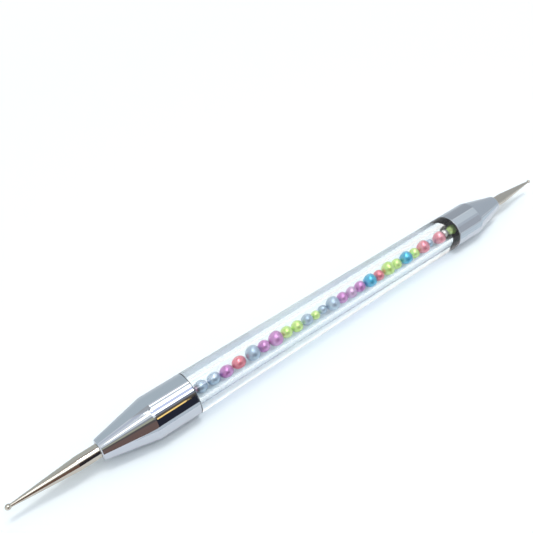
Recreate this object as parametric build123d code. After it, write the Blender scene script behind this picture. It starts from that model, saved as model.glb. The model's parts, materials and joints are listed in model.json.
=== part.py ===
from build123d import *

import os
from math import cos, pi, sin, sqrt

# Double-ended embossing stylus, lying on a table.
# The handle is a clear tube whose bore holds a row of loose pearls. A metal ferrule on each end
# carries a slim steel shank with a small ball: a larger ball at -X, a smaller one at +X.
# Millimetres. +X runs along the tool, +Z is up. The origin lies on the table, under mid-length.

# Barrel: clear tube with a turned-down tenon at each end, as long as its row of pearls needs
barrel_diameter = 8.0
tenon_length = 5.0

# Pearls
small_pearl_diameter = 2.0
medium_pearl_diameter = 2.5
large_pearl_diameter = 3.0
bore_play = 0.5
pearl_wall_clearance = 0.06
pearl_touch_clearance = 0.02
loose_gap = 0.4
end_play = 0.84
stop_clearance = 0.05

# Ferrules
collar_length = 8.0
taper_length = 9.5
mouth_diameter = 3.8
ferrule_wall = 0.4
rim_bevel = 0.12
crease_radius = 1.5
mouth_rounding = 0.35
countersink_depth = 0.25
socket_chamfer = 0.1

# End caps: dark cups over the tenons, which close the bore
cap_wall = 0.35
cap_floor = 0.5
glue_gap = 0.02

# Shanks
shank_diameter = 2.5
shank_exposed = 15.5
shank_straight = 3.7
shank_root = 8.0
root_step = 0.25
root_chamfer = 0.2
large_ball_diameter = 1.0
small_ball_diameter = 0.8
large_neck_diameter = 0.6
small_neck_diameter = 0.5

# The row of pearls from -X to +X: size, how far it leans up the bore's far wall (a share of a
# quarter turn from straight down), and the gap after it (a share of the loose gap)
pearl_order = (
    "large medium"
    " medium medium medium medium large medium large medium medium medium small small large"
    " medium medium medium large medium large medium large medium large small large small medium"
    " small"
).split()
lean_shares = (
    0.4, 0.5,
    0.38, 0.38, 0.13, 0.45, 0.95, 0.58, 1.0, 0.55, 0.35, 0.45, 0.3, 0.5, 0.6,
    0.45, 0.35, 0.5, 0.4, 0.3, 0.95, 0.4, 0.5, 0.3, 0.65, 0.45, 0.05, 0.48, 0.4,
    0.3,
)
gap_shares = (
    0.0, 0.0,
    0.7, 0.45, 1.0, 1.0, 0.0, 0.0, 0.0, 0.25, 0.25, 0.0, 0.0, 0.0, 0.0,
    0.0, 0.0, 0.0, 0.0, 0.0, 0.0, 0.35, 0.0, 0.25, 0.0, 1.0, 0.0, 0.0, 0.0,
    0.0,
)
left_play_share = 0.6

# Sizes that follow
pearl_diameters = {
    "small": small_pearl_diameter,
    "medium": medium_pearl_diameter,
    "large": large_pearl_diameter,
}
bore_radius = (max(pearl_diameters.values()) + bore_play) / 2


def pearl_row():
    """Works the row out pearl by pearl, as (radius, x, y, z) from the row's left end.

    Each pearl rests on the bore's wall, rolled a little way up it, and stands just clear of the
    one before.
    """
    row = []
    gap = 0
    for size, lean_share, gap_share in zip(pearl_order, lean_shares, gap_shares, strict=True):
        radius = pearl_diameters[size] / 2
        rise = bore_radius - radius - pearl_wall_clearance
        y = rise * sin(lean_share * pi / 2)
        z = -rise * cos(lean_share * pi / 2)
        x = radius
        if row:
            last_radius, last_x, last_y, last_z = row[-1]
            reach = last_radius + radius + pearl_touch_clearance
            x = last_x + gap + sqrt(reach**2 - (y - last_y) ** 2 - (z - last_z) ** 2)
        row.append((radius, x, y, z))
        gap = gap_share * loose_gap
    return row


row = pearl_row()
row_length = row[-1][1] + row[-1][0]
left_play = left_play_share * end_play
half_bore = (row_length + end_play) / 2
half_barrel = half_bore - tenon_length
barrel_radius = barrel_diameter / 2
socket_radius = barrel_radius - ferrule_wall
cap_radius = socket_radius - glue_gap
tenon_radius = cap_radius - cap_wall - glue_gap
socket_floor = half_bore + cap_floor
collar_end = half_barrel + collar_length
mouth = collar_end + taper_length
mouth_radius = mouth_diameter / 2
shank_radius = shank_diameter / 2
root_radius = shank_radius - root_step
shank_hole_radius = root_radius + glue_gap
shank_hole_end = mouth - shank_root
tip = mouth + shank_exposed


def turned(points, side, rounds=()):
    """Turns an outline round the tool's axis.

    The points are (distance from mid-length, radius); side is -1 or +1, the end that the piece is
    on. rounds holds (point, radius) pairs for the corners that are rounded.
    """
    outline = make_face(Polyline(*[(side * x, r) for x, r in points], close=True))
    for (x, r), size in rounds:
        corner = outline.vertices().sort_by_distance((side * x, r))[0]
        outline = fillet(corner, size)
    solid = revolve(Plane.XZ * outline, Axis.X)
    return Pos(0, 0, barrel_radius) * solid


def barrel_tube():
    """Clear tube: full diameter between the ferrules, a tenon at each end, a bore all the way."""
    right = [
        (half_barrel, barrel_radius),
        (half_barrel, tenon_radius),
        (half_bore, tenon_radius),
        (half_bore, bore_radius),
    ]
    left = [(-x, r) for x, r in reversed(right)]
    return turned(right + left, 1)


def end_cap(side):
    """Dark cup over the tenon. Its floor closes the bore and keeps the pearls in."""
    inside = cap_radius - cap_wall
    return turned(
        [
            (half_barrel, cap_radius),
            (socket_floor, cap_radius),
            (socket_floor, 0),
            (half_bore, 0),
            (half_bore, inside),
            (half_barrel, inside),
        ],
        side,
    )


def ferrule(side):
    """Collar flush with the barrel, then a straight taper to the mouth that holds the shank."""
    bevelled = barrel_radius - rim_bevel
    countersunk = shank_radius + glue_gap + countersink_depth
    crease = (collar_end, barrel_radius)
    lip = (mouth, mouth_radius)
    return turned(
        [
            (half_barrel, bevelled),
            (half_barrel + rim_bevel, barrel_radius),
            crease,
            lip,
            (mouth, countersunk),
            (mouth - countersink_depth, shank_hole_radius),
            (shank_hole_end, shank_hole_radius),
            (shank_hole_end, 0),
            (socket_floor, 0),
            (socket_floor, socket_radius),
            (half_barrel + socket_chamfer, socket_radius),
            (half_barrel, socket_radius + socket_chamfer),
        ],
        side,
        [(crease, crease_radius), (lip, mouth_rounding)],
    )


def shank(side, ball_diameter, neck_diameter):
    """One turned piece: a root stepped down for the ferrule, a straight, a taper, a neck, a ball."""
    ball_radius = ball_diameter / 2
    neck_radius = neck_diameter / 2
    ball_centre = tip - ball_radius
    neck = ball_centre - sqrt(ball_radius**2 - neck_radius**2)
    flank = Polyline(
        (side * ball_centre, 0),
        (side * shank_hole_end, 0),
        (side * shank_hole_end, root_radius - root_chamfer),
        (side * (shank_hole_end + root_chamfer), root_radius),
        (side * mouth, root_radius),
        (side * mouth, shank_radius),
        (side * (mouth + shank_straight), shank_radius),
        (side * neck, neck_radius),
    )
    ball = ThreePointArc((side * neck, neck_radius), (side * ball_centre, ball_radius), (side * tip, 0))
    axis_line = Line((side * tip, 0), (side * ball_centre, 0))
    outline = make_face([flank, ball, axis_line])
    return Pos(0, 0, barrel_radius) * revolve(Plane.XZ * outline, Axis.X)


def pearl(radius, x, y, z):
    """A round pearl, placed from the row's left end."""
    return Pos(x + left_play - half_bore, y, barrel_radius + z) * Sphere(radius)


def main():
    """Writes one STEP file for each piece and prints the sizes that the record states."""
    os.makedirs("parts", exist_ok=True)
    pieces = {
        "barrel_tube": barrel_tube(),
        "large_tip_end_cap": end_cap(-1),
        "small_tip_end_cap": end_cap(1),
        "large_tip_ferrule": ferrule(-1),
        "small_tip_ferrule": ferrule(1),
        "large_tip_shank": shank(-1, large_ball_diameter, large_neck_diameter),
        "small_tip_shank": shank(1, small_ball_diameter, small_neck_diameter),
    }
    for number, place in enumerate(row, start=1):
        pieces[f"pearl_{number:02d}"] = pearl(*place)
    for name, solid in pieces.items():
        export_step(solid, f"parts/{name}.step")
    print(f"overall {2 * tip:.3f}, barrel {2 * half_barrel:.3f}, tenon {2 * tenon_radius:.2f}")
    print(f"slide {stop_clearance - left_play:.3f} to {end_play - left_play - stop_clearance:.3f}")


main()
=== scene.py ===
# %% [markdown]
# A double-ended embossing stylus, dressed for its picture.
#
# The tool is a clear round handle filled with loose imitation pearls. On each end a chromed
# ferrule holds a slim steel shank with a small ball, which presses dots and lines into paper,
# foil or clay. The frame that is loaded here holds every piece at its real size and place. The
# lesson keeps those places, and makes finer surfaces, finishes and light.

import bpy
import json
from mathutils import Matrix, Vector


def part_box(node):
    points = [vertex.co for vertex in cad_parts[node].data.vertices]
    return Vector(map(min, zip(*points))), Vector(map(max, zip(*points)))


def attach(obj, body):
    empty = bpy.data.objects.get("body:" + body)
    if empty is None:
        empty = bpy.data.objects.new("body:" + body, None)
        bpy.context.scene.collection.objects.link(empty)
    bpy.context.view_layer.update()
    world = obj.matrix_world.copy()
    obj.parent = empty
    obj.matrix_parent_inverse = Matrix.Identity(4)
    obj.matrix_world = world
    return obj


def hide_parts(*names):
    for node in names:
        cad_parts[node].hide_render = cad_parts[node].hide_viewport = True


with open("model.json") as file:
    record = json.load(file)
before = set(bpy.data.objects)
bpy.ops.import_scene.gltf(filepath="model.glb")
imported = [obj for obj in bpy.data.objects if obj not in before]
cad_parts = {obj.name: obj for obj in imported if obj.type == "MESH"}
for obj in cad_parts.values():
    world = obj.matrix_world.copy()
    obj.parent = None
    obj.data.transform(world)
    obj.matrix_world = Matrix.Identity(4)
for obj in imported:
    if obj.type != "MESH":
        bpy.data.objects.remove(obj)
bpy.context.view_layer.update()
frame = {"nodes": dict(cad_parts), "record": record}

# %% [markdown]
# Everything is in metres, as the frame is. Sizes are easier to read in millimetres, so each
# length on the tool is a number times MM, and only the wide stage round it is written in plain
# metres. A few lengths come straight from the frame: how long the bore is, how thick the handle
# is, where a ferrule and a tip end, and how high the tool's axis lies above the table.

# %% Units and the sizes read from the frame
import json
from math import cos, pi, radians, sin, sqrt, tan

import bmesh
import bpy
import numpy as np
from mathutils import Quaternion, Vector

MM = 0.001

barrel_low, barrel_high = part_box("barrel_tube")
half_bore = barrel_high.x
barrel_radius = (barrel_high.z - barrel_low.z) / 2
axis_height = (barrel_high.z + barrel_low.z) / 2
tip_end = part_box("small_tip_shank")[1].x
mouth_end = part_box("small_tip_ferrule")[1].x
print(f"bore {2 * half_bore / MM:.2f} mm long, handle {2 * barrel_radius / MM:.2f} mm across")

# %% [markdown]
# The photographer stood over the near end and looked down along the tool at 43 degrees. From so
# close by, the near ferrule looks 1.4 times as wide as the far one, so the camera's place matters
# more than its lens. The camera was held a seventh of a degree off level.

# %% Camera
camera_place = Vector((-63.6, -57.1, 91.6)) * MM
camera_direction = Vector((0.46113, 0.57302, -0.67697))
camera_roll = radians(-0.14)
camera_lens = 40.65
camera_sensor = 36.0

camera = bpy.data.objects.new("camera", bpy.data.cameras.new("camera"))
camera.data.sensor_width = camera_sensor
camera.data.lens = camera_lens
camera.data.clip_start = 5 * MM
camera.location = camera_place
camera.rotation_mode = "QUATERNION"
aimed = camera_direction.to_track_quat("-Z", "Y")
camera.rotation_quaternion = aimed @ Quaternion((0, 0, 1), camera_roll)
bpy.context.scene.collection.objects.link(camera)
bpy.context.scene.camera = camera
camera_distance = (camera_place - Vector((0, 0, axis_height))).length
print(f"camera {camera_distance / MM:.0f} mm from the middle of the tool")

# %% [markdown]
# Materials are networks of nodes. Small helpers keep them readable: one adds a node with its
# settings and socket values, one wires two nodes together, and one starts a finish with the
# standard surface shader. Patterns read Object coordinates, which stay with the piece when it
# moves.

# %% Helpers for finishes


def add_node(material, kind, values=None, **settings):
    """Adds a node of this kind. Settings are its properties, values are what its sockets hold."""
    node = material.node_tree.nodes.new(kind)
    for name, value in settings.items():
        setattr(node, name, value)
    for name, value in (values or {}).items():
        node.inputs[name].default_value = value
    return node


def wire(material, source, target):
    """Connects an output to an input."""
    material.node_tree.links.new(source, target)


def new_finish(name, values):
    """Starts a finish: a material, its surface shader with these values, and the coordinates."""
    material = bpy.data.materials.new(name)
    material.use_nodes = True
    shader = material.node_tree.nodes["Principled BSDF"]
    for socket, value in values.items():
        shader.inputs[socket].default_value = value
    place = add_node(material, "ShaderNodeTexCoord").outputs["Object"]
    return material, shader, place


print("ready: add_node, wire and new_finish")

# %% [markdown]
# Nothing real is quite even. Soft random blotches are the start of every pattern here. They are
# spread over a range of roughness, so that a gloss comes and goes, or they tilt the surface a
# little as a bump, so that a reflection wavers. Noise seldom comes near 0 or 1, so only its middle
# range is spread out.

# %% Helpers for patterns
noise_range = (0.3, 0.7)


def noise(material, place, per_mm, detail=2.0):
    """Soft random blotches, about this many to the millimetre, between 0 and 1."""
    values = {"Scale": per_mm / MM, "Detail": detail}
    node = add_node(material, "ShaderNodeTexNoise", values)
    wire(material, place, node.inputs["Vector"])
    return node.outputs["Fac"]


def between(material, factor, low, high):
    """Spreads a factor's middle range, where noise mostly lies, over low to high."""
    values = {
        "From Min": noise_range[0],
        "From Max": noise_range[1],
        "To Min": low,
        "To Max": high,
    }
    node = add_node(material, "ShaderNodeMapRange", values)
    wire(material, factor, node.inputs["Value"])
    return node.outputs["Result"]


def bump(material, shader, height, depth):
    """Tilts the shader's normal by a height between 0 and 1 that stands for this depth."""
    node = add_node(material, "ShaderNodeBump", {"Strength": 1.0, "Distance": depth})
    wire(material, height, node.inputs["Height"])
    wire(material, node.outputs["Normal"], shader.inputs["Normal"])


print(f"noise from {noise_range[0]} to {noise_range[1]} is spread over each range")

# %% [markdown]
# A path tracer follows rays, and a material can ask what kind of ray has met it. Mixing two
# shaders by the answer gives a surface one look for the eye and another for the light that it
# passes on. The mix takes the place of the standard shader on the material's surface.

# %% Helpers for mixing by the kind of ray


def any_ray(material, *kinds):
    """1 for rays of any of these kinds, and 0 for all others."""
    path = add_node(material, "ShaderNodeLightPath")
    either = path.outputs[kinds[0]]
    for kind in kinds[1:]:
        larger = add_node(material, "ShaderNodeMath", operation="MAXIMUM")
        wire(material, either, larger.inputs[0])
        wire(material, path.outputs[kind], larger.inputs[1])
        either = larger.outputs["Value"]
    return either


def on_surface(material, shader):
    """Wires a shader to the material's surface, in place of what was there."""
    output = material.node_tree.nodes["Material Output"]
    wire(material, shader.outputs[0], output.inputs["Surface"])


def mixed(material, factor, first, second):
    """Puts a mix of two shaders on the surface: the first where the factor is 0, the second at 1."""
    mix = add_node(material, "ShaderNodeMixShader")
    wire(material, factor, mix.inputs["Fac"])
    wire(material, first.outputs[0], mix.inputs[1])
    wire(material, second.outputs[0], mix.inputs[2])
    on_surface(material, mix)
    return mix


print("ready: any_ray, on_surface and mixed")

# %% [markdown]
# Clear acrylic bends light like glass, a little less: its index is 1.49. The tube is drawn out of a
# die, which leaves very faint lines along it, and then it is polished. Light from lamps has to
# reach the pearls inside, and a path tracer finds almost no such paths through a curved clear
# wall. So for rays that only ask whether a lamp or the sky is in sight, the wall counts as a
# nearly clear film.

# %% Finish of the clear tube
acrylic_tint = (0.975, 0.99, 0.985, 1.0)
acrylic_index = 1.49
acrylic_roughness = (0.0, 0.006)
die_lines_per_mm = 1.2
die_line_share = 0.02
die_line_depth = 0.0002 * MM
film_tint = (0.84, 0.87, 0.9, 1.0)


def drawn_out(material, place, share):
    """The same coordinates with the length shrunk to this share, so that a pattern runs along x."""
    node = add_node(material, "ShaderNodeMapping", {"Scale": (share, 1.0, 1.0)})
    wire(material, place, node.inputs["Vector"])
    return node.outputs["Vector"]


def clear_acrylic():
    """Polished acrylic, with a nearly clear film in its place for shadow and diffuse rays."""
    values = {"Base Color": acrylic_tint, "IOR": acrylic_index, "Transmission Weight": 1.0}
    material, shader, place = new_finish("clear_acrylic", values)
    lines = noise(material, drawn_out(material, place, die_line_share), die_lines_per_mm)
    wire(material, between(material, lines, *acrylic_roughness), shader.inputs["Roughness"])
    bump(material, shader, lines, die_line_depth)
    film = add_node(material, "ShaderNodeBsdfTransparent", {"Color": film_tint})
    mixed(material, any_ray(material, "Is Shadow Ray", "Is Diffuse Ray"), shader, film)
    return material


finishes = {"clear_acrylic": clear_acrylic()}
print(f"clear acrylic: index {acrylic_index}, roughness up to {acrylic_roughness[1]}")

# %% [markdown]
# The ferrules are turned brass under bright chrome. Chrome mirrors a little over half of the
# light, with a cool cast. Under the plating the lathe's finest rings still show as a slight
# waver in the reflections, and the plating itself has a faint orange peel.

# %% Finish of the ferrules
chrome_tint = (0.55, 0.6, 0.66, 1.0)
chrome_roughness = (0.035, 0.07)
clouds_per_mm = 1.5
chrome_rings_per_mm = 3.0
ring_detail = 3.0
orange_peel_per_mm = 1.2
waver_depth = 0.0006 * MM


def turning_marks(material, place, per_mm):
    """Random rings round the tool, as a lathe leaves: a one-dimensional noise that runs with x."""
    split = add_node(material, "ShaderNodeSeparateXYZ")
    wire(material, place, split.inputs["Vector"])
    values = {"Scale": per_mm / MM, "Detail": ring_detail}
    rings = add_node(material, "ShaderNodeTexNoise", values, noise_dimensions="1D")
    wire(material, split.outputs["X"], rings.inputs["W"])
    return rings.outputs["Fac"]


def bright_chrome():
    """Bright plate over a turned surface: rings and orange peel, under a thousandth deep."""
    values = {"Base Color": chrome_tint, "Metallic": 1.0}
    material, shader, place = new_finish("bright_chrome", values)
    clouds = noise(material, place, clouds_per_mm)
    wire(material, between(material, clouds, *chrome_roughness), shader.inputs["Roughness"])
    add = add_node(material, "ShaderNodeMath", operation="ADD")
    wire(material, turning_marks(material, place, chrome_rings_per_mm), add.inputs[0])
    wire(material, noise(material, place, orange_peel_per_mm), add.inputs[1])
    bump(material, shader, add.outputs["Value"], waver_depth)
    return material


finishes["bright_chrome"] = bright_chrome()
print(f"bright chrome: mirrors {chrome_tint[0]:.0%} of red light and {chrome_tint[2]:.0%} of blue")

# %% [markdown]
# The shanks are steel rod, turned and polished but not plated, so they look warmer and softer
# than the ferrules. Their rings are finer and closer, and spread the light round the rod.

# %% Finish of the shanks
steel_tint = (0.55, 0.52, 0.46, 1.0)
steel_roughness = (0.06, 0.13)
steel_rings_per_mm = 12.0
steel_ring_depth = 0.0005 * MM


def tip_steel():
    """Polished steel, a little warm, with fine rings from the lathe."""
    values = {"Base Color": steel_tint, "Metallic": 1.0}
    material, shader, place = new_finish("tip_steel", values)
    rings = turning_marks(material, place, steel_rings_per_mm)
    wire(material, between(material, rings, *steel_roughness), shader.inputs["Roughness"])
    bump(material, shader, rings, steel_ring_depth)
    return material


finishes["tip_steel"] = tip_steel()
print(f"tip steel: mirrors {steel_tint[0]:.0%} of red light and {steel_tint[2]:.0%} of blue")

# %% [markdown]
# The end caps are soft black cups between the tube and the metal. Almost nothing of them shows,
# only a dark ring seen through the clear wall at the rims, so a dull black rubber is enough.

# %% Finish of the end caps
rubber_black = (0.02, 0.021, 0.02, 1.0)
rubber_gloss = 0.3
rubber_roughness = (0.55, 0.75)
grain_per_mm = 6.0
grain_depth = 0.01 * MM


def cap_rubber():
    """Dull black rubber with a fine grain."""
    values = {"Base Color": rubber_black, "Specular IOR Level": rubber_gloss}
    material, shader, place = new_finish("dark_cap", values)
    grain = noise(material, place, grain_per_mm)
    wire(material, between(material, grain, *rubber_roughness), shader.inputs["Roughness"])
    bump(material, shader, grain, grain_depth)
    return material


finishes["dark_cap"] = cap_rubber()
print(f"rubber: roughness {rubber_roughness[0]} to {rubber_roughness[1]}")

# %% [markdown]
# An imitation pearl is a moulded bead under pearl lacquer: tiny flakes of mica in clear coats.
# The flakes act like a half-metal layer that glows in the bead's own colour, and the clear coat
# on top gives the small sharp highlight. Each colour is one finish, made by one function. The
# lacquer runs a little thicker in places, which the noise turns into a paler or deeper tone.

# %% Finishes of the pearls
pearl_tones = {
    "silver": ((0.32, 0.45, 0.57), (0.50, 0.64, 0.78)),
    "violet": ((0.54, 0.14, 0.48), (0.70, 0.32, 0.68)),
    "mauve": ((0.62, 0.34, 0.60), (0.78, 0.54, 0.78)),
    "coral": ((0.78, 0.10, 0.17), (0.92, 0.25, 0.31)),
    "pink": ((0.86, 0.20, 0.28), (0.95, 0.38, 0.44)),
    "green": ((0.54, 0.84, 0.14), (0.74, 0.97, 0.34)),
    "blue": ((0.0, 0.36, 0.60), (0.02, 0.54, 0.82)),
    "white": ((0.80, 0.78, 0.72), (0.92, 0.90, 0.86)),
}
mica_share = 0.5
coat_index = 1.8
coat_roughness = 0.03
swirls_per_mm = 0.7
flakes_per_mm = 25.0
flake_detail = 1.0
flake_roughness = (0.24, 0.38)
flake_depth = 0.0008 * MM


def pearl_lacquer(colour):
    """Pearl lacquer of one colour: a deep and a pale tone mixed by a soft swirl, under a coat."""
    deep, pale = pearl_tones[colour]
    values = {
        "Metallic": mica_share,
        "Specular Tint": (*deep, 1.0),
        "Coat Weight": 1.0,
        "Coat IOR": coat_index,
        "Coat Roughness": coat_roughness,
    }
    material, shader, place = new_finish("pearl_" + colour, values)
    swirl = add_node(material, "ShaderNodeMix", data_type="RGBA")
    swirl.inputs["A"].default_value = (*deep, 1.0)
    swirl.inputs["B"].default_value = (*pale, 1.0)
    thickness = noise(material, place, swirls_per_mm)
    wire(material, between(material, thickness, 0.0, 1.0), swirl.inputs["Factor"])
    wire(material, swirl.outputs["Result"], shader.inputs["Base Color"])
    flakes = noise(material, place, flakes_per_mm, flake_detail)
    wire(material, between(material, flakes, *flake_roughness), shader.inputs["Roughness"])
    bump(material, shader, flakes, flake_depth)
    return material


for colour in pearl_tones:
    finishes["pearl_" + colour] = pearl_lacquer(colour)
print("finishes:", ", ".join(finishes))

# %% [markdown]
# Every fixed piece of this tool is round, so each is a profile turned about the axis. A profile
# is a list of corners, and a real edge is never quite sharp: it takes a small arc that touches
# both of its straight runs. Working the arcs out gives the surface's own direction at each point
# as well, so the shading is exact however few points there are.

# %% Profiles with rounded corners
longest_step = 1.5 * MM
arc_step = radians(12)


def unit(vectors):
    """Each vector divided by its own length."""
    return vectors / np.linalg.norm(vectors, axis=-1, keepdims=True)


def left_of(directions):
    """Directions in the plane of the profile, turned a quarter turn to the left."""
    return np.stack([-directions[..., 1], directions[..., 0]], -1)


def corner_arc(corner, into, out_of, radius):
    """The arc of this radius that touches both runs at a corner, as points and normals.

    The normal turns from that of the run into the corner to that of the run out of it. The
    arc's centre lies on the line that halves the corner, at radius / cos(half the turn), inside
    the material at an outer corner and outside it at an inner one.
    """
    first, last = left_of(into), left_of(out_of)
    turn = np.arctan2(into[0] * out_of[1] - into[1] * out_of[0], into @ out_of)
    steps = 2 + int(abs(turn) / arc_step)
    angles = np.arctan2(first[1], first[0]) + turn * np.linspace(0, 1, steps)
    normals = np.stack([np.cos(angles), np.sin(angles)], -1)
    side = -np.sign(turn)
    centre = corner - side * unit(first + last) * radius / cos(turn / 2)
    return centre + side * radius * normals, normals


def run_between(start, end, normal):
    """Points strictly between two ends of a straight run, evenly spaced, with its one normal."""
    count = int(np.linalg.norm(end - start) / longest_step)
    shares = np.linspace(0, 1, count + 2)[1:-1, None]
    return start + shares * (end - start), np.tile(normal, (count, 1))


def rounded_profile(outline, closed=False):
    """A profile through corners (x, r, rounding), walked with the material on its right.

    Each corner is rounded by its own radius. An open profile keeps its first and last points as
    they are, and their roundings are not used.
    """
    corners, radii = np.array(outline, float)[:, :2], np.array(outline, float)[:, 2]
    following = np.roll(corners, -1, 0) if closed else corners[1:]
    runs = unit(following - corners[: len(following)])
    pieces = []
    if not closed:
        pieces.append((corners[:1], left_of(runs[:1])))
    for index in range(0 if closed else 1, len(corners) if closed else len(corners) - 1):
        pieces.append(corner_arc(corners[index], runs[index - 1], runs[index], radii[index]))
    if not closed:
        pieces.append((corners[-1:], left_of(runs[-1:])))
    points, normals = [], []
    ends = pieces[1:] + (pieces[:1] if closed else [])
    for index, (arc, arc_normals) in enumerate(pieces):
        points.append(arc)
        normals.append(arc_normals)
        if index < len(ends):
            more, more_normals = run_between(arc[-1], ends[index][0][0], arc_normals[-1])
            points.append(more)
            normals.append(more_normals)
    return np.concatenate(points), np.concatenate(normals)


def mirrored(profile):
    """The same profile for the other end of the tool: x changes sign and the walk is reversed."""
    points, normals = profile
    flip = np.array([-1.0, 1.0])
    return points[::-1] * flip, normals[::-1] * flip


square_arc, _ = corner_arc(np.zeros(2), np.array([0.0, 1.0]), np.array([1.0, 0.0]), MM)
print("a square outer corner gets", len(square_arc), "points")

# %% [markdown]
# Turning a profile is one formula for the whole surface. Where the profile meets the axis, the
# ring shrinks to a single point, and a fan of triangles closes it. The volume that the faces
# enclose comes out positive only if they all point outwards, so it is printed as a check.

# %% Turning a profile on the axis


def build_piece(name, vertices, faces, normals):
    """A smooth mesh object from whole arrays, with its exact normals, linked to the scene."""
    mesh = bpy.data.meshes.new(name)
    mesh.from_pydata(vertices.tolist(), [], faces)
    mesh.shade_smooth()
    mesh.normals_split_custom_set_from_vertices(normals.tolist())
    piece = bpy.data.objects.new(name, mesh)
    bpy.context.scene.collection.objects.link(piece)
    return piece


def turned(name, profile, segments, closed=False):
    """Turns a profile round the tool's axis.

    The point (x, r) at turn t goes to (x, r sin t, axis height + r cos t), and its normal turns
    with it. A closed profile makes a tube; an open one starts and ends on the axis.
    """
    points, normals = profile
    poles, pole_normals = points[[0, -1]], normals[[0, -1]]
    if not closed:
        points, normals = points[1:-1], normals[1:-1]
    turn = np.linspace(0, 2 * pi, segments, endpoint=False)
    round_y, round_z = np.sin(turn), np.cos(turn)

    def swept(pairs, lift):
        along, out = pairs[:, :1], pairs[:, 1:]
        return np.stack(np.broadcast_arrays(along, out * round_y, lift + out * round_z), -1)

    vertices = swept(points, axis_height).reshape(-1, 3)
    directions = swept(normals, 0.0).reshape(-1, 3)
    index = np.arange(len(points) * segments).reshape(len(points), segments)
    beside = np.roll(index, -1, 1)
    first, second = (index, np.roll(index, -1, 0)) if closed else (index[:-1], index[1:])
    first_beside, second_beside = (
        (beside, np.roll(beside, -1, 0)) if closed else (beside[:-1], beside[1:])
    )
    faces = np.stack([first, second, second_beside, first_beside], -1).reshape(-1, 4).tolist()
    if not closed:
        start, end = len(vertices), len(vertices) + 1
        left = np.stack([np.full(segments, start), index[0], beside[0]], -1)
        right = np.stack([index[-1], np.full(segments, end), beside[-1]], -1)
        faces += left.tolist() + right.tolist()
        ends = np.stack([poles[:, 0], np.zeros(2), np.full(2, axis_height)], -1)
        vertices = np.concatenate([vertices, ends])
        end_directions = np.stack([pole_normals[:, 0], np.zeros(2), np.zeros(2)], -1)
        directions = np.concatenate([directions, end_directions])
    return build_piece(name, vertices, faces, directions)


print("ready: build_piece and turned")

# %% [markdown]
# The frame knows which body each piece rides on and which slot its finish belongs to. A finer
# piece takes the place of the frame's own, on the same body and slot, and gets the finish. Both
# volumes are printed. They differ a little, by the roundings, by gaps of a few hundredths and by
# the pearls that aren't quite round.

# %% Dressing a piece
weld_distance = 0.0001 * MM
slots = {part["node"]: part["material_slot"] for part in frame["record"]["subparts"]}


def volume(piece):
    """The volume that a piece's faces enclose, in cubic millimetres."""
    shape = bmesh.new()
    shape.from_mesh(piece.data)
    bmesh.ops.remove_doubles(shape, verts=shape.verts, dist=weld_distance)
    enclosed = shape.calc_volume(signed=True) / MM**3
    shape.free()
    return enclosed


def dress(piece, node, body):
    """Puts a finished piece in a node's place: its body, its slot and the finish of that slot."""
    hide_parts(node)
    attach(piece, body)
    piece.data.materials.append(finishes[slots[node]])
    in_frame = volume(frame["nodes"][node])
    print(f"{piece.name}: {volume(piece):.1f} cubic mm, {in_frame:.1f} in the frame")


print(len(slots), "pieces to dress")

# %% [markdown]
# The handle is one piece of clear tube. Its ends are turned down to tenons, which the ferrules
# go over, so its shoulders stand flush against the collars. The bore runs right through. The
# edges are broken by a few hundredths, enough to catch a line of light where tube meets metal.

# %% Clear tube
bore_radius = 1.75 * MM
tenon_length = 5.0 * MM
tenon_radius = 3.21 * MM
half_barrel = half_bore - tenon_length
shoulder_edge = 0.08 * MM
inner_edge = 0.05 * MM
round_steps = 192


def clear_barrel():
    """The tube's closed profile, walked round outside and back along the bore, then turned."""
    right = [
        (half_barrel, barrel_radius, shoulder_edge),
        (half_barrel, tenon_radius, inner_edge),
        (half_bore, tenon_radius, inner_edge),
        (half_bore, bore_radius, inner_edge),
    ]
    left = [(-x, r, edge) for x, r, edge in reversed(right)]
    profile = rounded_profile(right + left, closed=True)
    return turned("clear_barrel", profile, round_steps, closed=True)


dress(clear_barrel(), "barrel_tube", "handle")

# %% [markdown]
# A dark cup sits over each tenon, inside the ferrule, and its floor closes the bore. It is glued
# on, and the glue squeezes out over the tube's shoulder in a thin dark film. Where dark glue wets
# clear plastic there is no mirror-like gap between them, and the eye sees black through the wall.
# Drawing the cup and its film a few thousandths of a millimetre into the plastic shows just that.
# Other faces that touch are drawn a hundredth apart, because the renderer can't tell which of two
# faces in one plane comes first.

# %% End caps
seat_gap = 0.01 * MM
cap_radius = 3.58 * MM
cap_floor = 0.5 * MM
cap_edge = 0.06 * MM
wetting = 0.004 * MM
film_radius = barrel_radius - 0.05 * MM
slim_steps = 96


def bore_cap():
    """The profile of the cup at +X: its inside, the film of glue on the shoulder, its outside."""
    inside = tenon_radius - wetting
    rim = half_barrel - wetting
    film_back = half_barrel + wetting
    floor = half_bore + seat_gap
    back = half_bore + cap_floor - seat_gap
    outline = [
        (floor, 0, 0),
        (floor, inside, cap_edge),
        (rim, inside, wetting),
        (rim, film_radius, wetting / 2),
        (film_back, film_radius, wetting / 2),
        (film_back, cap_radius, wetting / 2),
        (back, cap_radius, cap_edge),
        (back, 0, 0),
    ]
    return rounded_profile(outline)


small_cap = turned("small_bore_cap", bore_cap(), slim_steps)
dress(small_cap, "small_tip_end_cap", "handle")
large_cap = turned("large_bore_cap", mirrored(bore_cap()), slim_steps)
dress(large_cap, "large_tip_end_cap", "handle")

# %% [markdown]
# The ferrule is a short collar, flush with the handle, and then a straight taper. Polishing
# before plating rounds the crease between them, so that the reflections bend round it. Its rim
# is bevelled, and its mouth is countersunk, which leaves a dark groove round the shank.

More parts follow.
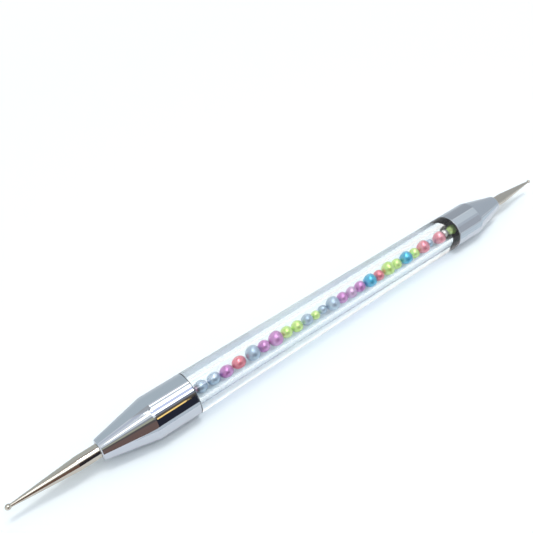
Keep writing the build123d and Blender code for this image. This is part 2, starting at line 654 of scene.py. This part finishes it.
# %% Ferrules
collar_length = 8.0 * MM
collar_end = half_barrel + collar_length
mouth_radius = 1.9 * MM
rim_bevel = 0.12 * MM
crease_radius = 2.5 * MM
mouth_rounding = 0.3 * MM
socket_radius = 3.6 * MM
socket_chamfer = 0.1 * MM
shank_hole_radius = 1.02 * MM
countersunk_radius = 1.52 * MM
countersink_depth = 0.25 * MM
root_length = 8.0 * MM
shank_hole_end = mouth_end - root_length
fine_edge = 0.04 * MM


def ferrule():
    """The profile at +X: the socket's floor and wall, the rim, the outside, the shank's hole."""
    floor = half_bore + cap_floor
    rim = half_barrel + seat_gap
    outline = [
        (floor, 0, 0),
        (floor, socket_radius, fine_edge),
        (half_barrel + socket_chamfer, socket_radius, fine_edge),
        (rim, socket_radius + socket_chamfer, fine_edge),
        (rim, barrel_radius - rim_bevel, fine_edge),
        (half_barrel + rim_bevel, barrel_radius, fine_edge),
        (collar_end, barrel_radius, crease_radius),
        (mouth_end, mouth_radius, mouth_rounding),
        (mouth_end, countersunk_radius, fine_edge),
        (mouth_end - countersink_depth, shank_hole_radius, fine_edge),
        (shank_hole_end, shank_hole_radius, fine_edge),
        (shank_hole_end, 0, 0),
    ]
    return rounded_profile(outline)


small_ferrule = turned("small_ferrule_chrome", ferrule(), round_steps)
dress(small_ferrule, "small_tip_ferrule", "handle")
large_ferrule = turned("large_ferrule_chrome", mirrored(ferrule()), round_steps)
dress(large_ferrule, "large_tip_ferrule", "handle")

# %% [markdown]
# The shank is turned from one rod: a root in the ferrule, a short straight, a slim taper, and
# the ball that does the work. The ball isn't stuck on. The tool bit leaves a small hollow curve
# between the taper and the ball, and that curve has to touch both. Its centre lies on a line
# beside the taper, one hollow radius away, where that line is also one hollow radius from the
# ball, and the crossing of a line and a circle gives it.

# %% Shanks
shank_radius = 1.25 * MM
root_radius = 1.0 * MM
root_chamfer = 0.2 * MM
shank_straight = 3.7 * MM
shoulder_rounding = 1.2 * MM
hollow_radius = 0.25 * MM
hollow_steps = 8
ball_steps = 28
small_ball_diameter = 0.8 * MM
small_neck_diameter = 0.5 * MM
large_ball_diameter = 1.0 * MM
large_neck_diameter = 0.6 * MM


def ball_end(start, neck, ball_radius):
    """The hollow and the ball after a taper from start towards the neck, as points and normals.

    The hollow's centre is the point of the line beside the taper that is hollow radius + ball
    radius from the ball's centre. From there the hollow turns from the taper's normal to the
    line of centres, and the ball goes on from that line to the axis.
    """
    centre = np.array([tip_end - ball_radius, 0.0])
    direction = unit(neck - start)
    normal = left_of(direction)
    beside = start + hollow_radius * normal - centre
    along = beside @ direction
    reach = ball_radius + hollow_radius
    hollow = centre + beside - (along + sqrt(along**2 - beside @ beside + reach**2)) * direction
    line = unit(hollow - centre)
    taper_angle = np.arctan2(normal[1], normal[0])
    ball_angle = np.arctan2(line[1], line[0])
    hollow_turn = np.linspace(taper_angle, ball_angle, hollow_steps)
    ball_turn = np.linspace(ball_angle, 0, ball_steps)[1:]
    hollow_normals = np.stack([np.cos(hollow_turn), np.sin(hollow_turn)], -1)
    ball_normals = np.stack([np.cos(ball_turn), np.sin(ball_turn)], -1)
    points = [hollow - hollow_radius * hollow_normals, centre + ball_radius * ball_normals]
    return np.concatenate(points), np.concatenate([hollow_normals, ball_normals])


def shank(ball_diameter, neck_diameter):
    """The profile at +X: the root and the straight, rounded at the corners, then the ball end."""
    ball_radius, neck_radius = ball_diameter / 2, neck_diameter / 2
    neck_x = tip_end - ball_radius - sqrt(ball_radius**2 - neck_radius**2)
    neck = np.array([neck_x, neck_radius])
    shoulder = (mouth_end + shank_straight, shank_radius)
    outline = [
        (shank_hole_end + seat_gap, 0, 0),
        (shank_hole_end + seat_gap, root_radius - root_chamfer, fine_edge),
        (shank_hole_end + root_chamfer, root_radius, fine_edge),
        (mouth_end - countersink_depth, root_radius, fine_edge),
        (mouth_end - countersink_depth + root_chamfer, shank_radius, fine_edge),
        (*shoulder, shoulder_rounding),
        (*neck, 0),
    ]
    points, normals = rounded_profile(outline)
    ball_points, ball_normals = ball_end(np.array(shoulder), neck, ball_radius)
    before = points[:, 0] < ball_points[0, 0] - fine_edge
    points = np.concatenate([points[before], ball_points])
    normals = np.concatenate([normals[before], ball_normals])
    return points, normals


small_profile = shank(small_ball_diameter, small_neck_diameter)
large_profile = mirrored(shank(large_ball_diameter, large_neck_diameter))
small_shank = turned("small_stylus_tip", small_profile, slim_steps)
large_shank = turned("large_stylus_tip", large_profile, slim_steps)
dress(small_shank, "small_tip_shank", "handle")
dress(large_shank, "large_tip_shank", "handle")

# %% [markdown]
# The pearls are loose in the bore and came out of a mould and a lacquer bath, so none is a
# perfect ball: each is six thousandths oval, and turned its own way. Four that lie loose near
# the -X end are long ones, and nearly close the gaps between them. The frame gives each pearl's
# place and size. The random numbers are seeded, so that every run makes the same row.

# %% Pearls
oval_share = 0.006
long_pearls = {"03": 1.05, "04": 1.06, "05": 1.1, "06": 1.16}
bead_rings = 24
bead_segments = 48
chance = np.random.default_rng(30)


def random_turn():
    """A random rotation: an orthogonal matrix from a square of random numbers."""
    axes, _ = np.linalg.qr(chance.normal(size=(3, 3)))
    return axes * np.sign(np.linalg.det(axes))


def bead(name, centre, radius, longer):
    """A bead round its centre, as a function of two angles.

    Latitude a and longitude b give the direction (cos a cos b, cos a sin b, sin a). The distance
    from the centre is the radius, less up to the oval share of it where cos a cos b is small.
    The whole is then turned at random, and x is stretched by how much longer this bead is.
    """
    latitude = np.linspace(-pi / 2, pi / 2, bead_rings + 1)[1:-1, None]
    longitude = np.linspace(0, 2 * pi, bead_segments, endpoint=False)[None, :]
    level = np.cos(latitude)
    axes = (level * np.cos(longitude), level * np.sin(longitude), np.sin(latitude))
    grid = np.stack(np.broadcast_arrays(*axes), -1)
    poles = np.array([[0.0, 0.0, -1.0], [0.0, 0.0, 1.0]])
    directions = np.concatenate([grid.reshape(-1, 3), poles])
    distance = radius * (1 - oval_share * (1 - directions[:, :1] ** 2))
    rotation = random_turn()
    stretch = np.array([longer, 1.0, 1.0])
    vertices = np.array(centre) + (distance * directions) @ rotation.T * stretch
    index = np.arange((bead_rings - 1) * bead_segments).reshape(bead_rings - 1, bead_segments)
    beside = np.roll(index, -1, 1)
    quads = np.stack([index[:-1], beside[:-1], beside[1:], index[1:]], -1).reshape(-1, 4)
    bottom, top = len(directions) - 2, len(directions) - 1
    under = np.stack([np.full(bead_segments, bottom), beside[0], index[0]], -1)
    over = np.stack([np.full(bead_segments, top), index[-1], beside[-1]], -1)
    faces = quads.tolist() + under.tolist() + over.tolist()
    return build_piece(name, vertices, faces, unit(directions @ rotation.T / stretch))


for node in frame["record"]["behaviour"]["bodies"]["pearl_row"]:
    low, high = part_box(node)
    number = node.removeprefix("pearl_")
    longer = long_pearls.get(number, 1.0)
    pearl = bead("bead_" + number, (low + high) / 2, (high.x - low.x) / 2, longer)
    dress(pearl, node, "pearl_row")

# %% [markdown]
# The table is a wide sheet of white paper. In a bright photograph such a sheet is exposed past
# white, and its shadows are paler and cooler than the eye sees them. So the paper has two finishes:
# a plain white one for the light that it throws on the tool, and a brighter one for what the
# camera sees of it, also through clear plastic. Both keep the tool's shadow. The lamps reach only
# so far, so beyond a hand's breadth the paper runs out into an even white, as a sheet that curves
# up into a wall does, and a low view shows no grey edge behind the tool.

# %% Table
table_radius = 2.5
table_sides = 64
table_drop = 0.02 * MM
paper_white = (0.97, 0.97, 0.97, 1.0)
exposed_white = (0.985, 1.055, 1.07, 1.0)
even_white = (1.0, 1.0, 1.0, 1.0)
fade_start = 0.1
fade_end = 0.24


def stage_piece(name, vertices, faces):
    """Links a mesh of whole arrays that belongs to the stage, not to the tool."""
    mesh = bpy.data.meshes.new(name)
    mesh.from_pydata(vertices.tolist(), [], faces)
    piece = bpy.data.objects.new(name, mesh)
    bpy.context.scene.collection.objects.link(piece)
    return piece


def paper_sheet():
    """A round sheet under the tool, a hair below it, so that no two faces share a plane."""
    turn = np.linspace(0, 2 * pi, table_sides, endpoint=False)
    across, away = table_radius * np.cos(turn), table_radius * np.sin(turn)
    rim = np.stack([across, away, np.full(table_sides, -table_drop)], -1)
    sheet = stage_piece("table_sheet", rim, [list(range(table_sides))])
    values = {"Base Color": paper_white, "Roughness": 1.0, "Specular IOR Level": 0.0}
    material, plain, place = new_finish("white_paper", values)
    exposed = add_node(material, "ShaderNodeBsdfDiffuse", {"Color": exposed_white})
    even = add_node(material, "ShaderNodeEmission", {"Color": even_white, "Strength": 1.0})
    length = add_node(material, "ShaderNodeVectorMath", operation="LENGTH")
    wire(material, place, length.inputs[0])
    fade = add_node(material, "ShaderNodeMapRange", {"From Min": fade_start, "From Max": fade_end})
    wire(material, length.outputs["Value"], fade.inputs["Value"])
    seen = mixed(material, fade.outputs["Result"], exposed, even)
    mixed(material, any_ray(material, "Is Camera Ray", "Is Transmission Ray"), plain, seen)
    sheet.data.materials.append(material)


paper_sheet()
print(f"the paper runs out into even white from {fade_start / MM:.0f} to {fade_end / MM:.0f} mm")

# %% [markdown]
# Three panels of one softbox hang over the tool, the middle one cooler and dimmer. A narrow strip
# behind it and another past the near end draw the thin lines of light along the metal, and a small
# strong lamp puts the sharp spark on each pearl. A lamp's power over its area gives its
# brightness, so each lamp is written by the brightness that a perfect mirror would show. Angles are
# counted about the tool's axis, from the horizon in front of it up over the top. A lamp lets the
# white room behind it through, so a black housing of its own size stands just behind each one.

# %% Lamps
housing_gap = 2 * MM
power_factor = 4.0


def glowing_card(name, vertices, faces, colour, seen):
    """A card of one plain colour, seen in "mirrors" alone, through "plastic" alone or in "both"."""
    card = stage_piece(name, vertices, faces)
    material = bpy.data.materials.new(name)
    material.use_nodes = True
    glow = add_node(material, "ShaderNodeEmission", {"Color": (*colour, 1.0), "Strength": 1.0})
    on_surface(material, glow)
    card.data.materials.append(material)
    for kind in ("camera", "diffuse", "shadow", "volume_scatter"):
        setattr(card, "visible_" + kind, False)
    card.visible_glossy = seen != "plastic"
    card.visible_transmission = seen != "mirrors"


def lamp(name, elevations, reach, brightness, colour, distance):
    """A flat lamp that faces the tool.

    It covers the angles from the lowest to the highest elevation, and the stretch of x that reach
    gives. At elevation e its middle is (x, -distance cos e, axis height + distance sin e), and
    its power is four times its area times its brightness.
    """
    low, high = elevations
    middle = radians((low + high) / 2)
    light = bpy.data.lights.new(name, "AREA")
    light.shape = "RECTANGLE"
    light.size = reach[1] - reach[0]
    light.size_y = 2 * distance * tan(radians(high - low) / 2)
    light.energy = power_factor * light.size * light.size_y * brightness
    light.color = colour
    holder = bpy.data.objects.new(name, light)
    holder.location = (
        (reach[0] + reach[1]) / 2,
        -distance * cos(middle),
        distance * sin(middle) + axis_height,
    )
    holder.rotation_euler = (pi / 2 - middle, 0, 0)
    holder.visible_camera = False
    bpy.context.scene.collection.objects.link(holder)
    corners = np.array([(-1, -1, 0), (1, -1, 0), (1, 1, 0), (-1, 1, 0)]) / 2
    corners = corners * (light.size, light.size_y, 0) + (0, 0, housing_gap)
    housing = [holder.matrix_basis @ Vector(corner) for corner in corners]
    glowing_card(name + "_housing", np.array(housing), [[0, 1, 2, 3]], (0.0, 0.0, 0.0), "both")


# Name, elevations in degrees, reach in x, brightness, colour, distance from the axis
lamps = (
    ("softbox_front", (59.3, 68.0), (-0.25, 0.3), 3.2, (1.0, 0.97, 0.98), 1.0),
    ("softbox_middle", (68.0, 82.0), (-0.27, 0.3), 1.0, (0.78, 0.8, 1.0), 1.0),
    ("softbox_back", (82.0, 95.5), (-0.27, 0.3), 3.2, (1.0, 0.98, 0.96), 1.0),
    ("back_strip", (106.5, 110.4), (0.12, 0.6), 3.2, (1.0, 1.0, 1.0), 1.0),
    ("near_strip", (71.5, 80.5), (-0.37, -0.27), 2.5, (1.0, 1.0, 1.0), 1.0),
    ("spark", (82.0, 90.0), (-0.07, 0.07), 19.0, (1.0, 1.0, 1.0), 0.98),
)
for row in lamps:
    lamp(*row)
print(len(lamps), "lamps")

# %% [markdown]
# Bright metal shows its surroundings, and a tool in an empty white room would have no shape. In
# a studio, dark and coloured cards stand round the work, out of the picture: a black one in front
# of the near collar, with a brass-coloured one that leaves the golden streak beside the highlight,
# brown and olive ones toward the near tip, and grey ones behind and at the far end. Most are also
# seen through the clear tube, where they darken the pearls' lower sides and draw its long grey
# lines. From behind, those in front show through the tube as stripes, so three of them are
# carried on for rays through plastic alone, and the stripes run the tube's whole length.

# %% Cards round the stage
card_steps = 24
card_distance = 0.25
brass_distance = 0.249
back_distance = 0.45
front_reach = (-0.045, 0.06)
highlight_reach = (-0.01, 0.06)
crease_reach = (-0.098, -0.01)
taper_reach = (-0.098, -0.045)
tip_reach = (-0.2, -0.098)
carried_reach = (0.06, 0.088)
far_reach = (0.16, 0.305)
black = (0.03, 0.031, 0.047)
umber = (0.17, 0.13, 0.1)
step_grey = (0.3, 0.31, 0.36)
brown = (0.24, 0.15, 0.127)
dark_brown = (0.16, 0.13, 0.12)


def studio_card(name, elevations, reach, distance, colour, seen):
    """A card on an arc about the tool's axis.

    At elevation e and place x its point is (x, -distance cos e, axis height + distance sin e).
    """
    angles = np.radians(np.linspace(*elevations, card_steps))[:, None]
    round_y = -distance * np.cos(angles)
    round_z = axis_height + distance * np.sin(angles)
    grid = np.stack(np.broadcast_arrays(np.array(reach)[None, :], round_y, round_z), -1)
    index = np.arange(2 * card_steps).reshape(card_steps, 2)
    quads = np.stack([index[:-1, 0], index[:-1, 1], index[1:, 1], index[1:, 0]], -1)
    glowing_card(name, grid.reshape(-1, 3), quads.tolist(), colour, seen)


# Name, elevations in degrees, reach in x, distance from the axis, colour, where it is seen
cards = (
    ("black_card", (-0.9, 39), front_reach, card_distance, black, "both"),
    ("brass_card", (32, 38.5), (-0.01, 0.028), brass_distance, (1.9, 1.22, 0.38), "mirrors"),
    ("umber_card", (39, 48), front_reach, card_distance, umber, "both"),
    ("grey_step", (48, 59.3), highlight_reach, card_distance, step_grey, "both"),
    ("white_card", (48, 59.3), crease_reach, card_distance, (1.2, 1.2, 1.2), "both"),
    ("dim_strip", (88, 118), crease_reach, card_distance, (0.56, 0.56, 0.56), "both"),
    ("shade_card", (39, 48), taper_reach, card_distance, (0.4, 0.38, 0.36), "both"),
    ("near_dark_card", (30, 39), taper_reach, card_distance, dark_brown, "both"),
    ("brown_card", (-0.9, 30), (-0.2, -0.045), card_distance, brown, "both"),
    ("dark_card", (30, 41.5), tip_reach, card_distance, dark_brown, "both"),
    ("olive_card", (41.5, 52), tip_reach, card_distance, (0.58, 0.56, 0.41), "both"),
    ("grey_edge", (52, 59.3), tip_reach, card_distance, (0.42, 0.43, 0.47), "both"),
    ("dim_card", (96.3, 112), (-0.2, -0.07), card_distance, (0.76, 0.78, 0.86), "both"),
    ("back_card", (118, 181), (-0.9, 0.25), back_distance, (0.65, 0.71, 0.735), "mirrors"),
    ("far_back_card", (110, 181), (0.25, 0.9), back_distance, (0.53, 0.55, 0.575), "mirrors"),
    ("black_carried_on", (-0.9, 39), carried_reach, card_distance, black, "plastic"),
    ("umber_carried_on", (39, 48), carried_reach, card_distance, umber, "plastic"),
    ("grey_carried_on", (48, 59.3), carried_reach, card_distance, step_grey, "plastic"),
    ("far_card", (3, 46), far_reach, card_distance, (0.58, 0.59, 0.62), "both"),
    ("far_step", (46, 62), far_reach, card_distance, (0.69, 0.72, 0.76), "both"),
    ("far_ceiling", (62, 104), far_reach, card_distance, (0.85, 0.89, 0.91), "both"),
    ("end_card", (5, 175), (0.305, 2.0), card_distance, (0.6, 0.635, 0.67), "both"),
)
for row in cards:
    studio_card(*row)
print(len(cards), "upright cards")

# %% [markdown]
# The lower side of the metal mirrors the table close beside it, and white paper there would
# leave the tool without a lower edge. So flat cards lie round it. They show in reflections
# alone: the camera, and the eye through the clear tube, still see bare paper. The black and
# brown ones carry the black and brown upright cards on below the horizon. The grey ones are
# painted shade: they stand for the table in shade in front of the tool, behind it, and at and
# past its far end, as the metal mirrors it.

# %% Cards that lie on the table


def lying_card(name, reach, depth, colour):
    """A card on the table beside the tool, from the first to the second depth in y.

    Its four corners are the ends of the reach and of the depth, as high above the tool's lowest
    line as the paper lies below it.
    """
    corners = [(reach[0], depth[0]), (reach[1], depth[0]), (reach[1], depth[1]), (reach[0], depth[1])]
    grid = np.array([(x, y, table_drop) for x, y in corners])
    glowing_card(name, grid, [[0, 1, 2, 3]], colour, "mirrors")


# Name, reach in x, depth in y, colour
dark_and_painted_shade_cards = (
    ("black_mat", (-0.05, 0.06), (-0.25, -0.06), black),
    # painted shade of the table in front of the tool, as the metal mirrors it
    ("grey_mat", (-0.05, 0.06), (-0.06, -0.016), (0.76, 0.8, 0.84)),
    ("brown_mat", (-0.2, -0.05), (-0.25, -0.03), brown),
    # painted shade of the table behind the tool, as the metal mirrors it
    ("back_mat", (-0.9, 0.25), (0.005, 0.45), (0.7, 0.75, 0.78)),
    ("far_back_mat", (0.25, 0.9), (0.005, 0.45), (0.6, 0.64, 0.68)),
    # painted shade of the table at and past the far end, as the metal mirrors it
    ("far_mat", (0.04, 0.12), (-0.25, -0.009), (0.84, 0.91, 0.96)),
    ("end_mat", (0.12, 2.0), (-0.45, -0.004), (0.62, 0.66, 0.7)),
)
for row in dark_and_painted_shade_cards:
    lying_card(*row)
print(len(dark_and_painted_shade_cards), "cards on the table")

# %% [markdown]
# The sky is a plain white wall to the camera, and to metal and clear plastic, which show what
# stands round them. For the soft light that falls on everything it is brighter overhead than at
# the horizon, as under the ceiling of a light room, and a little cool, which gives the pearls
# their shaded undersides.

# %% Room light
wall_white = (1.0, 1.0, 1.0, 1.0)
light_level = (0.2, 0.21, 0.23, 1.0)
light_overhead = (0.72, 0.75, 0.78, 1.0)

world = bpy.data.worlds.new("room")
world.use_nodes = True
bpy.context.scene.world = world
direction = add_node(world, "ShaderNodeTexCoord").outputs["Generated"]
height = add_node(world, "ShaderNodeSeparateXYZ")
wire(world, direction, height.inputs["Vector"])
soft = add_node(world, "ShaderNodeMix", data_type="RGBA")
soft.inputs["A"].default_value = light_level
soft.inputs["B"].default_value = light_overhead
wire(world, height.outputs["Z"], soft.inputs["Factor"])
shown = add_node(world, "ShaderNodeMix", data_type="RGBA")
wire(world, soft.outputs["Result"], shown.inputs["A"])
shown.inputs["B"].default_value = wall_white
wire(
    world,
    any_ray(world, "Is Camera Ray", "Is Glossy Ray", "Is Transmission Ray"),
    shown.inputs["Factor"],
)
wire(world, shown.outputs["Result"], world.node_tree.nodes["Background"].inputs["Color"])

bpy.context.scene.view_settings.view_transform = "Standard"
print("room light from", light_level[:3], "to", light_overhead[:3])
